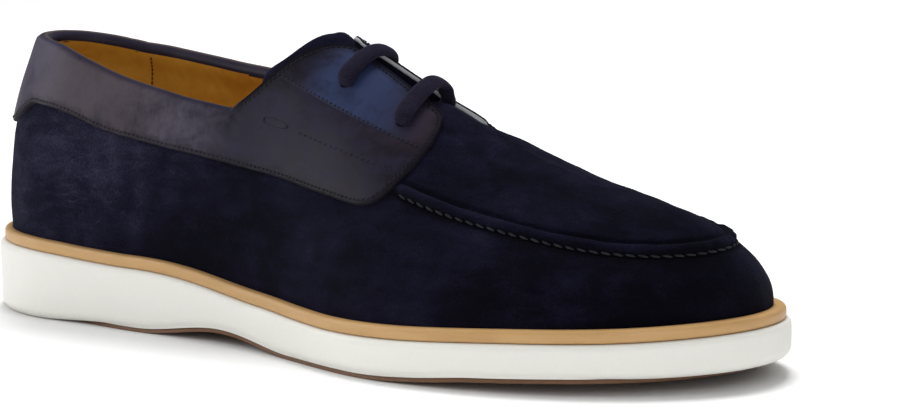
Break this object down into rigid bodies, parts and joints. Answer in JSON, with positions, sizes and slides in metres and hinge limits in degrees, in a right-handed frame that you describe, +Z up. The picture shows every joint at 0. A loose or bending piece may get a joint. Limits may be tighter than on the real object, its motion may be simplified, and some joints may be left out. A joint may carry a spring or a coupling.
{
  "type": "dress shoe",
  "caption": "Low casual dress shoe: suede upper with a raised apron seam, smooth leather saddle band laced over the instep, padded collar, and a thick pale wedge sole.",
  "frame": {"origin": "bottom centre of the shoe's bounding box, on the floor plane that its heel and forefoot stand on", "axes": "+X from the heel to the toe, +Y to the shoe's inner (medial) side, +Z up"},
  "size_m": [0.3, 0.1116, 0.0988],
  "materials": {
    "outsole": "brown rubber tread, matte",
    "midsole": "off-white rubber, smooth matte",
    "lining": "ochre lining leather, satin",
    "welt": "natural tan strip, smooth",
    "suede": "dark navy suede, napped and brushed",
    "band": "smooth dark navy leather with a hand-rubbed patina",
    "lace": "dark navy waxed cotton cord, braided"
  },
  "bodies": {
    "root": {"outsole": "outsole", "midsole": "midsole", "insole": "lining", "welt": "welt", "upper": "suede", "saddle_band": "band", "collar_roll": "band", "tongue": "suede", "lace_bar_rear": "lace", "lace_bar_front": "lace"}
  },
  "joints": []
}
